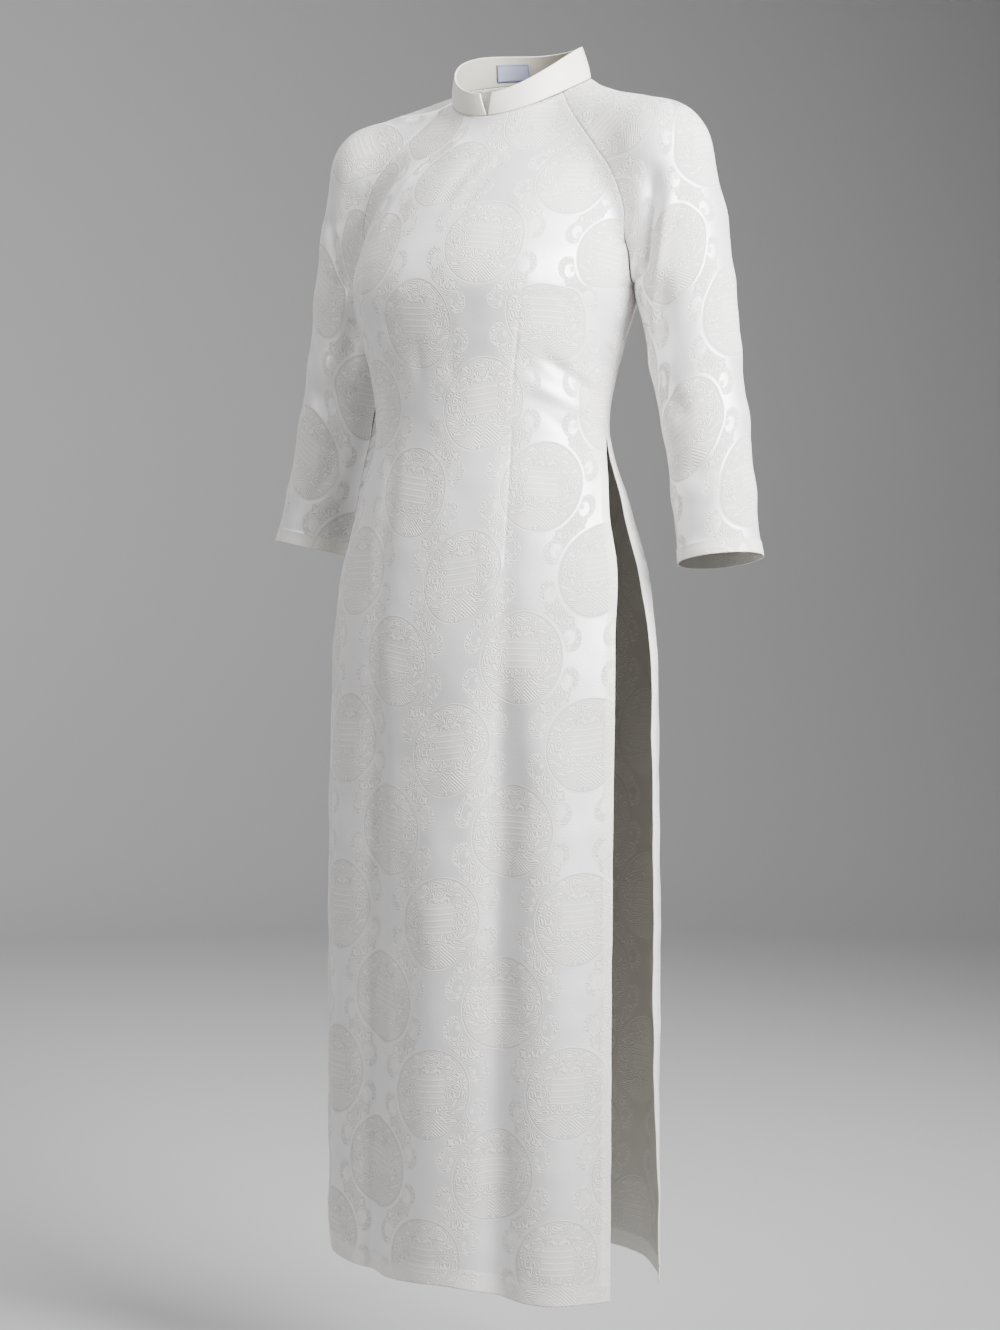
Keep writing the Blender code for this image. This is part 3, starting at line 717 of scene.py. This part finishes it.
def raised_turnup(off_edge, depth):
    """Height of a turned-up hem: the extra cloth, and a ridge where its folded edge lies behind."""
    ridge = HEM_RIDGE * np.exp(-((off_edge - depth) / RIDGE_WIDTH) ** 2)
    return HEM_STEP * soft_step(depth + RIDGE_WIDTH, depth - RIDGE_WIDTH, off_edge) + ridge


def panel_cloth(seam, ring_angles, centre_angle, centre_drops, edges, hem, marks):
    """Points, normals and cloth directions of the front or back, from neckline to hem."""
    shares = closer_near(PANEL_COLUMNS, (0.0, 1.0) + marks)
    spread = shares * 2 - 1
    neck = ring_point(NECKLINE_RING, ring_angles[0] + (ring_angles[1] - ring_angles[0]) * shares)
    seam_share = (seam[:, 2] - seam[0, 2]) / (seam[-1, 2] - seam[0, 2])
    upper = [neck]
    for row in range(1, SEAM_ROWS + 1):
        drop = centre_drops[0] + (centre_drops[1] - centre_drops[0]) * seam_share[row]
        middle = torso_point(np.float64(centre_angle), np.float64(drop))
        upper.append(arc_through(seam[row] * (-1, 1, 1), middle, seam[row], shares))
    upper = onto(chest_distance, np.array(upper))
    upper = upper + (neck - upper[0]) * neck_fade(SEAM_ROWS + 1)[:, None, None]
    upper = held_at_seams(upper, seam * (-1, 1, 1), seam)
    lower = []
    for part in np.linspace(0, 1, SIDE_ROWS + 1)[1:]:
        edge_drop = UNDERARM_DROP + (SLIT_TOP_DROP - UNDERARM_DROP) * part
        side = np.radians(curve_through(SIDE_SEAM_ANGLE[:, 0], SIDE_SEAM_ANGLE[:, 1], edge_drop))
        drops = edge_drop + (centre_drops[1] - UNDERARM_DROP) * (1 - part) * (1 - spread ** 2)
        reach = 2 * side if centre_angle == 0 else 2 * side - 2 * np.pi
        lower.append(torso_point(-side + reach * shares, drops))
    hem_share = HEM_DEPTH / (hem["drop"] - SLIT_TOP_DROP)
    for part in closer_near(SKIRT_ROWS, (1.0, 1 - hem_share), 3.0, 0.006)[1:]:
        hem_drop = hem["drop"] + hem["slope"] * spread + hem["bow"] * (1 - spread ** 2)
        hem_drop = hem_drop - hem["corner_lift"] * np.clip(-spread, 0, 1) ** 8
        hem_drop = hem_drop - hem["lift"] * np.exp(-((spread - hem["lift_at"]) / hem["lift_width"]) ** 2)
        drops = SLIT_TOP_DROP + (hem_drop - SLIT_TOP_DROP) * part
        left = np.radians(curve_through(edges[0][:, 0], edges[0][:, 1], drops[-1]))
        right = np.radians(curve_through(edges[1][:, 0], edges[1][:, 1], drops[0]))
        reach = right + left if centre_angle == 0 else right + left - 2 * np.pi
        lower.append(torso_point(-right + reach * shares, drops))
    lower = onto(torso_distance, np.array(lower))
    points = np.concatenate([upper, lower])
    normals = np.concatenate([outward(chest_distance, upper), outward(torso_distance, lower)])
    across = run_along(points, 1)
    middle_run = np.array([np.interp(0.5, shares, row) for row in across])
    down = run_along(points, 0)
    down = down - down[SEAM_ROWS] - points[SEAM_ROWS, :, 2]
    return points, normals, across, across - middle_run[:, None], down


def panel_relief(points, normals, across, down, creases, darts, seed):
    """Moves the panel's points for creases, darts, sunk seams and turned hems."""
    height = crease_height(points, creases) + dart_height(points, darts)
    height += uneven(points, 0.055, 0.0016, seed) + uneven(points, 0.022, 0.0005, seed + 9)
    off_side = np.minimum(across, across[:, -1:] - across)
    slit = np.arange(len(points)) > SEAM_ROWS + SIDE_ROWS
    fade = soft_step(0, 0.012, off_side)
    fade[slit] = 1
    height = height * fade
    height[slit] += raised_turnup(off_side[slit], SLIT_HEM_DEPTH)
    height += raised_turnup(down[-1:] - down, HEM_DEPTH)
    points = points + normals * height[..., None]
    sewn = np.arange(SEAM_ROWS + SIDE_ROWS + 1)
    sink_at_seam(points, normals, off_side, sewn)
    sink_at_seam(points, normals, run_along(points, 0), np.arange(SEAM_ROWS // 2))
    every = np.arange(len(points))
    draw_in(points, every, 0, 1)
    draw_in(points, every, -1, -2)
    return points


def cloth_piece(name, points, normals, cloth, materials, thickness=CLOTH_THICKNESS, closed=False):
    """A sheet of cloth through a grid of points, its reverse in the second material."""
    rows, columns = points.shape[:2]
    shape = bmesh.new()
    bmesh.ops.create_grid(shape, x_segments=columns - 1, y_segments=rows - 1, size=1)
    weave = shape.verts.layers.float_vector.new("cloth")
    shape.verts.ensure_lookup_table()
    for index, vertex in enumerate(shape.verts):
        place = divmod(index, columns)
        vertex.co = points[place]
        vertex[weave] = cloth[place]
    shape.faces.ensure_lookup_table()
    shape.normal_update()
    facing = shape.faces[0].normal.dot(Vector(normals[0, 0]))
    if facing < 0:
        bmesh.ops.reverse_faces(shape, faces=shape.faces)
    if closed:
        bmesh.ops.remove_doubles(shape, verts=shape.verts, dist=0.00002)
    mesh = bpy.data.meshes.new(name)
    shape.to_mesh(mesh)
    shape.free()
    mesh.shade_smooth()
    for material in materials:
        mesh.materials.append(material)
    piece = bpy.data.objects.new(name, mesh)
    bpy.context.collection.objects.link(piece)
    wall = piece.modifiers.new("wall", "SOLIDIFY")
    wall.thickness = thickness
    wall.offset = -1
    wall.material_offset = len(materials) - 1
    return piece


def figure_place(across, down, middle, level, slant, doubled):
    """The cloth's places in the damask repeat, a medallion at middle and level, and its doubled mark."""
    lean = across - slant * (SLANT_FROM - down) - middle
    return np.stack([lean, level - down, doubled * DOUBLED_MARK], axis=-1)


def turned_in(off_edge, depth):
    """1 where a turned-in edge lies double."""
    return soft_step(depth + RIDGE_WIDTH / 2, depth - RIDGE_WIDTH / 2, off_edge)


def panel_doubled(across, down):
    """Where the hem and the slit edges of a panel lie double."""
    doubled = turned_in(down[-1:] - down, HEM_DEPTH)
    off_side = np.minimum(across, across[:, -1:] - across)
    slit = np.arange(len(across)) > SEAM_ROWS + SIDE_ROWS
    doubled[slit] = np.maximum(doubled[slit], turned_in(off_side[slit], SLIT_HEM_DEPTH))
    return doubled


front_seam = raglan_seam(RAGLAN_FRONT_ANGLE, RAGLAN_FRONT)
front_neck_drop = -ring_point(NECKLINE_RING, 0.0)[2]
points, normals, across, centred, down = panel_cloth(
    front_seam, (-RAGLAN_FRONT_ANGLE, RAGLAN_FRONT_ANGLE), 0, (front_neck_drop, FRONT_CHEST_DROP),
    (FRONT_EDGE_LEFT, FRONT_EDGE_RIGHT), FRONT_HEM, (0.315, 0.685))
cloth = figure_place(centred, down, 0.016, 0.86, 0.055, panel_doubled(across, down))
points = panel_relief(points, normals, across, down, FRONT_CREASES, FRONT_DARTS, 2.0)
front = cloth_piece("front", points, normals, cloth, (silk, silk_reverse_shaded))
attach(front, "root")
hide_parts("front_panel")


# Back panel. The same silk in one length, with two waist darts, sewn to the sleeves and the front;
# its slit edges and hem are turned in narrowly, and it hangs free below the waist.
RAGLAN_BACK_ANGLE = np.radians(115)
RAGLAN_BACK = np.array([
    (0.100, 0.050, -0.038),
    (0.130, 0.064, -0.080),
    (0.149, 0.066, -0.120),
    (0.157, 0.054, -0.160),
    (0.155, 0.026, -0.198),
])
BACK_EDGE_LEFT = np.array([
    (0.373, 98.5),
    (0.420, 93.0),
    (0.500, 90.0),
    (0.560, 93.0),
    (0.700, 94.0),
    (1.000, 95.0),
    (1.150, 103.0),
    (1.250, 105.0),
])
BACK_EDGE_RIGHT = np.array([
    (0.373, 98.5),
    (0.420, 94.0),
    (0.500, 92.0),
    (0.560, 92.0),
    (0.700, 91.0),
    (1.250, 90.0),
])
BACK_HEM = {"drop": 1.209, "slope": 0.016, "bow": 0.0, "corner_lift": 0.0,
            "lift": 0.004, "lift_at": -0.30, "lift_width": 0.25}
BACK_CHEST_DROP = 0.232
BACK_CREASES = np.array([
    (0.060, 0.036, -0.400, 0.066, 0.050, -1.240, 0.020, -0.0070),
    (-0.064, 0.036, -0.400, -0.072, 0.050, -1.240, 0.020, -0.0080),
    (0.004, 0.060, -0.600, 0.010, 0.062, -1.240, 0.036, 0.0055),
    (0.120, 0.026, -0.560, 0.126, 0.026, -1.240, 0.026, 0.0050),
    (-0.126, 0.026, -0.560, -0.124, 0.026, -1.240, 0.026, 0.0055),
    (0.020, 0.048, -0.330, 0.085, 0.034, -0.352, 0.010, -0.0016),
    (-0.015, 0.050, -0.318, -0.080, 0.036, -0.338, 0.009, -0.0015),
    (0.010, 0.044, -0.362, -0.070, 0.034, -0.376, 0.010, -0.0014),
    (0.070, 0.090, -0.150, 0.105, 0.075, -0.215, 0.012, -0.0018),
    (-0.075, 0.090, -0.150, -0.108, 0.073, -0.210, 0.012, -0.0020),
])
BACK_DARTS = np.array([
    (0.070, 0.070, -0.245, 0.062, 0.034, -0.370, 0.0016, -0.0010),
    (0.062, 0.034, -0.370, 0.066, 0.054, -0.500, 0.0016, -0.0009),
    (-0.070, 0.070, -0.245, -0.062, 0.034, -0.370, 0.0016, -0.0010),
    (-0.062, 0.034, -0.370, -0.066, 0.054, -0.500, 0.0016, -0.0009),
])

back_seam = raglan_seam(RAGLAN_BACK_ANGLE, RAGLAN_BACK)
back_neck_drop = -ring_point(NECKLINE_RING, np.pi)[2]
points, normals, across, centred, down = panel_cloth(
    back_seam, (-RAGLAN_BACK_ANGLE, RAGLAN_BACK_ANGLE - 2 * np.pi), np.pi, (back_neck_drop, BACK_CHEST_DROP),
    (BACK_EDGE_LEFT, BACK_EDGE_RIGHT), BACK_HEM, (0.335, 0.665))
cloth = figure_place(centred, down, 0.0, 0.86, 0.0, panel_doubled(across, down))
points = panel_relief(points, normals, across, down, BACK_CREASES, BACK_DARTS, 31.0)
back = cloth_piece("back", points, normals, cloth, (silk, silk_reverse_shaded))
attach(back, "root")
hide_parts("back_panel")


# Raglan sleeves. Each is one piece of the silk with its seam under the arm, narrowing to a cuff
# below the elbow that is turned in and stitched. The left and right differ only in length.
SHOULDER_RIDGE = np.array([
    # x, y, z from the neck over the shoulder and down the outer arm
    (0.105, -0.004, -0.010),
    (0.145, -0.010, -0.024),
    (0.186, -0.012, -0.041),
    (0.211, -0.011, -0.062),
    (0.224, -0.010, -0.090),
    (0.232, -0.009, -0.128),
    (0.241, -0.009, -0.168),
])
TUBE_FIRST_STEP = 0.004
TUBE_RISE_FADE = 0.17
SLEEVE_CLEARANCE = 0.0012
CUFF_DROP = {"left": 0.497, "right": 0.486}
CUFF_DEPTH = 0.0135
TUBE_ROWS = 92
SLEEVE_COLUMNS = 84
SLEEVE_CREASES = {
    "left": np.array([
        (0.191, -0.064, -0.108, 0.174, -0.056, -0.226, 0.010, -0.0085),
        (0.207, -0.056, -0.120, 0.187, -0.057, -0.238, 0.0065, 0.0034),
        (0.187, -0.057, -0.236, 0.179, -0.046, -0.303, 0.0050, 0.0022),
        (0.197, -0.058, -0.215, 0.200, -0.056, -0.310, 0.011, -0.0040),
        (0.170, -0.046, -0.225, 0.172, -0.040, -0.300, 0.007, -0.0040),
        (0.186, 0.020, -0.240, 0.216, 0.028, -0.345, 0.012, -0.0050),
        (0.190, -0.048, -0.318, 0.226, -0.056, -0.362, 0.011, -0.0038),
        (0.202, -0.010, -0.330, 0.214, 0.026, -0.385, 0.011, -0.0038),
        (0.224, -0.060, -0.400, 0.256, -0.050, -0.430, 0.012, -0.0024),
        (0.236, -0.040, -0.180, 0.240, -0.045, -0.300, 0.016, 0.0014),
    ]),
    "right": np.array([
        (0.206, -0.056, -0.130, 0.180, -0.056, -0.222, 0.008, -0.0060),
        (0.196, -0.060, -0.140, 0.172, -0.052, -0.226, 0.0050, 0.0030),
        (0.170, -0.045, -0.200, 0.184, -0.056, -0.310, 0.010, -0.0050),
        (0.203, -0.057, -0.276, 0.210, -0.057, -0.325, 0.0055, 0.0024),
        (0.186, 0.020, -0.240, 0.216, 0.028, -0.345, 0.012, -0.0050),
        (0.222, -0.056, -0.305, 0.190, -0.050, -0.405, 0.013, -0.0060),
        (0.202, -0.010, -0.330, 0.214, 0.026, -0.385, 0.011, -0.0038),
        (0.200, -0.052, -0.390, 0.226, -0.060, -0.440, 0.010, -0.0026),
    ]),
}


def clear_of_torso(points, gap):
    """Moves sleeve points out of the torso's form where they come nearer than the gap."""
    depth = torso_distance(points)
    return points + np.clip(gap - depth, 0, None)[..., None] * outward(torso_distance, points)


def sleeve_cloth(cuff_drop):
    """Points, normals and cloth directions of the left sleeve, from neckline to cuff."""
    ridge = resample(np.vstack([ring_point(NECKLINE_RING, np.pi / 2), SHOULDER_RIDGE]), SEAM_ROWS)
    shares = closer_near(SLEEVE_COLUMNS, (0.0, 1.0))
    neck = ring_point(NECKLINE_RING, RAGLAN_FRONT_ANGLE + (RAGLAN_BACK_ANGLE - RAGLAN_FRONT_ANGLE) * shares)
    upper = [neck]
    for row in range(1, SEAM_ROWS):
        upper.append(arc_through(front_seam[row], ridge[row], back_seam[row], shares))
    upper = onto(sleeve_distance, np.array(upper))
    upper = upper + (neck - upper[0]) * neck_fade(SEAM_ROWS)[:, None, None]
    upper = held_at_seams(upper, front_seam[:SEAM_ROWS], back_seam[:SEAM_ROWS])
    turn = shares * 2 * np.pi
    tube_start = UNDERARM_DROP + 0.002
    cuff_share = CUFF_DEPTH / (cuff_drop - tube_start)
    tube = []
    for part in closer_near(TUBE_ROWS, (1.0, 1 - cuff_share), 2.5, 0.015):
        drop = tube_start + (cuff_drop - tube_start) * part
        centre = curve_through(-ARM_AXIS[:, 2], ARM_AXIS[:, :3], np.float64(drop))
        ahead = curve_through(-ARM_AXIS[:, 2], ARM_AXIS[:, :3], np.float64(drop + 0.01))
        axis = (ahead - centre) / np.linalg.norm(ahead - centre)
        inner_side = np.cross(axis, np.cross(np.array((-1.0, 0, 0)), axis))
        inner_side = inner_side / np.linalg.norm(inner_side)
        front_side = np.cross(inner_side, axis)
        reach = ARM_AXIS[4, 3] * (np.cos(turn)[:, None] * inner_side + np.sin(turn)[:, None] * front_side)
        line = onto(arm_distance, centre + reach)
        if part == 0:
            step = upper[-1] - line - (0, 0, TUBE_FIRST_STEP)
        tube.append(line + step * soft_step(tube_start + TUBE_RISE_FADE, tube_start, drop))
    tube = onto(arm_distance, np.array(tube))
    normals = np.concatenate([outward(sleeve_distance, upper), outward(arm_distance, tube)])
    points = np.concatenate([upper, clear_of_torso(tube, SLEEVE_CLEARANCE)])
    across = run_along(points, 1)
    middle_run = np.array([np.interp(0.5, shares, row) for row in across])
    down = run_along(points, 0)
    return points, normals, across, across - middle_run[:, None], down - down[SEAM_ROWS]


def make_sleeve(side, flip, seed, middle, level):
    """One sleeve, mirrored for the wearer's right."""
    points, normals, across, centred, down = sleeve_cloth(CUFF_DROP[side])
    cloth = figure_place(centred, down, middle, level, 0.0, turned_in(down[-1:] - down, CUFF_DEPTH))
    height = crease_height(points, SLEEVE_CREASES[side])
    height += uneven(points, 0.055, 0.0012, seed) + uneven(points, 0.022, 0.0004, seed + 9)
    off_seam = np.minimum(across, across[:, -1:] - across)
    height *= soft_step(0, 0.010, off_seam)
    off_cuff = down[-1:] - down
    height += raised_turnup(off_cuff, CUFF_DEPTH)
    points = points + normals * height[..., None]
    sink_at_seam(points, normals, off_seam, np.arange(len(points)))
    sink_at_seam(points, normals, down - down[:1], np.arange(SEAM_ROWS // 2))
    open_rows = np.arange(SEAM_ROWS)
    draw_in(points, open_rows, 0, 1)
    draw_in(points, open_rows, -1, -2)
    turned = np.array((flip, 1, 1))
    piece = cloth_piece("sleeve_on_" + side, points * turned, normals * turned, cloth,
                        (silk, silk_reverse_shaded), closed=True)
    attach(piece, "root")
    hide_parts("sleeve_" + side)


make_sleeve("left", 1, 55.0, 0.0, 0.08)
make_sleeve("right", -1, 71.0, 0.01, 0.10)


# Stand collar. A folded band of plain cream satin with a stiff layer inside, 30 mm high, sewn round
# the neckline and open in a narrow notch at centre front.
COLLAR_TOP_RING = {"half_width": 0.067, "half_depth": 0.063, "shift": -0.007,
                   "level": 0.0115, "tilt": 0.0285, "saddle": 0.0085}
COLLAR_HEIGHT = 0.030
COLLAR_SEAM_CLEARANCE = 0.0002
COLLAR_BULGE = 0.001
COLLAR_THICKNESS = 0.0022
NOTCH_HALF_ANGLE = (np.radians(0.7), np.radians(5.8))
COLLAR_ROWS = 22
COLLAR_COLUMNS = 220
COLLAR_CREAM = (0.80, 0.78, 0.72, 1)
COLLAR_SHADE = (0.74, 0.715, 0.645, 1)
# The collar's inside is painted darker and browner than its cream face: painted shade for the shadow inside
# the neck.
COLLAR_INSIDE_SHADED = (0.42, 0.39, 0.33, 1)
COLLAR_INSIDE_SHADED_DARKER = (0.37, 0.345, 0.29, 1)


def satin_band(name, light, shade):
    """Plain satin with a fine random grain and a soft uneven tone."""
    material, shader = new_material(name)
    tree = material.node_tree
    start = Thread(tree)
    place = start.add("ShaderNodeTexCoord", {}, {}, "Object")
    slub = start.cloud(place, 1100.0, 2.0)
    tone = start.cloud(place, 45.0, 2.0)
    tree.links.new((tone * 0.7 + slub * 0.3).tint(light, shade).socket, shader.inputs["Base Color"])
    tree.links.new((tone * 0.12 + 0.42).socket, shader.inputs["Roughness"])
    bump = start.add("ShaderNodeBump", {}, {"Strength": 0.4, "Distance": 0.0003, "Height": slub + tone})
    tree.links.new(bump.socket, shader.inputs["Normal"])
    shader.inputs["Sheen Weight"].default_value = 0.1
    return material


def level_outward(points):
    """Level directions away from the neck's upright axis."""
    level = points * (1, 1, 0)
    return level / np.linalg.norm(level, axis=-1, keepdims=True)


def collar_surface(angles, heights):
    """Points of the collar's outer side; height 0 is the neckline and 1 the top edge."""
    base = ring_point(NECKLINE_RING, angles)
    top = ring_point(COLLAR_TOP_RING, angles)
    bulge = (COLLAR_BULGE * 4 * heights * (1 - heights))[..., None]
    return base + (top - base) * heights[..., None] + level_outward(base) * bulge


band_satin = satin_band("collar_satin_cream", COLLAR_CREAM, COLLAR_SHADE)
# The collar's inner face takes the painted-shade colours.
band_inside_shaded = satin_band("collar_satin_inside_shaded", COLLAR_INSIDE_SHADED, COLLAR_INSIDE_SHADED_DARKER)
heights = np.linspace(COLLAR_SEAM_CLEARANCE / COLLAR_HEIGHT, 1, COLLAR_ROWS + 1)
notch = NOTCH_HALF_ANGLE[0] + (NOTCH_HALF_ANGLE[1] - NOTCH_HALF_ANGLE[0]) * heights
angles = notch[:, None] + (2 * np.pi - 2 * notch[:, None]) * np.linspace(0, 1, COLLAR_COLUMNS + 1)
points = collar_surface(angles, np.repeat(heights[:, None], COLLAR_COLUMNS + 1, axis=1))
normals = level_outward(points)
points = points + normals * uneven(points, 0.030, 0.0007, 12.0)[..., None]
collar = cloth_piece("stand_collar", points, normals, points, (band_satin, band_inside_shaded), COLLAR_THICKNESS)
rounded = collar.modifiers.new("rounded", "BEVEL")
rounded.width = 0.0007
rounded.segments = 3
rounded.angle_limit = np.radians(50)
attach(collar, "root")
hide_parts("collar")


# Label. A small blank tag woven of blue-grey yarn with a darker border, sewn flat inside the collar
# at the back, on the wearer's left. Its blues are darkened with painted shade for the shadow inside the
# collar.
LABEL_CENTRE_ANGLE = np.radians(216)
LABEL_WIDTH = 0.035
LABEL_HEIGHTS = (0.14, 0.72)
LABEL_TALL = 0.016
LABEL_OFFSET = 0.0030
LABEL_THICKNESS = 0.0006
LABEL_BORDER = 0.0016
RIB_PITCH = 0.0006
# Blue-grey tag and darker border, both painted darker as shade inside the collar.
LABEL_BLUE_SHADED = (0.23, 0.25, 0.34, 1)
LABEL_BORDER_BLUE_SHADED = (0.13, 0.15, 0.27, 1)

label_weave, label_shader = new_material("label_weave")
start = Thread(label_weave.node_tree)
tag = start.add("ShaderNodeAttribute", {"attribute_name": "cloth"}, {}, "Vector")
off_side = LABEL_WIDTH / 2 - abs(tag.part(0))
off_end = LABEL_TALL / 2 - abs(tag.part(1))
border = off_side.least(off_end).below(LABEL_BORDER, 0.0002)
ribs = abs(tag.part(1).wrapped(RIB_PITCH)) * (1.8 / RIB_PITCH)
label_links = label_weave.node_tree.links
label_links.new(border.tint(LABEL_BLUE_SHADED, LABEL_BORDER_BLUE_SHADED).socket, label_shader.inputs["Base Color"])
ribbed = start.add("ShaderNodeBump", {}, {"Strength": 0.5, "Distance": 0.0002, "Height": ribs})
label_links.new(ribbed.socket, label_shader.inputs["Normal"])
label_shader.inputs["Roughness"].default_value = 0.5
half_turn = LABEL_WIDTH / 2 / COLLAR_TOP_RING["half_width"]
angle_grid, height_grid = np.meshgrid(LABEL_CENTRE_ANGLE + np.linspace(-half_turn, half_turn, 41),
                                      np.linspace(*LABEL_HEIGHTS, 19))
points = collar_surface(angle_grid, height_grid)
normals = level_outward(points)
points = points - normals * LABEL_OFFSET
tag_place = np.stack([(angle_grid - LABEL_CENTRE_ANGLE) / half_turn * LABEL_WIDTH / 2,
                      (height_grid - np.mean(LABEL_HEIGHTS)) / np.ptp(LABEL_HEIGHTS) * LABEL_TALL,
                      np.zeros_like(angle_grid)], axis=-1)
label = cloth_piece("woven_tag", points, normals, tag_place, (label_weave,), LABEL_THICKNESS)
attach(label, "root")
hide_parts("label")
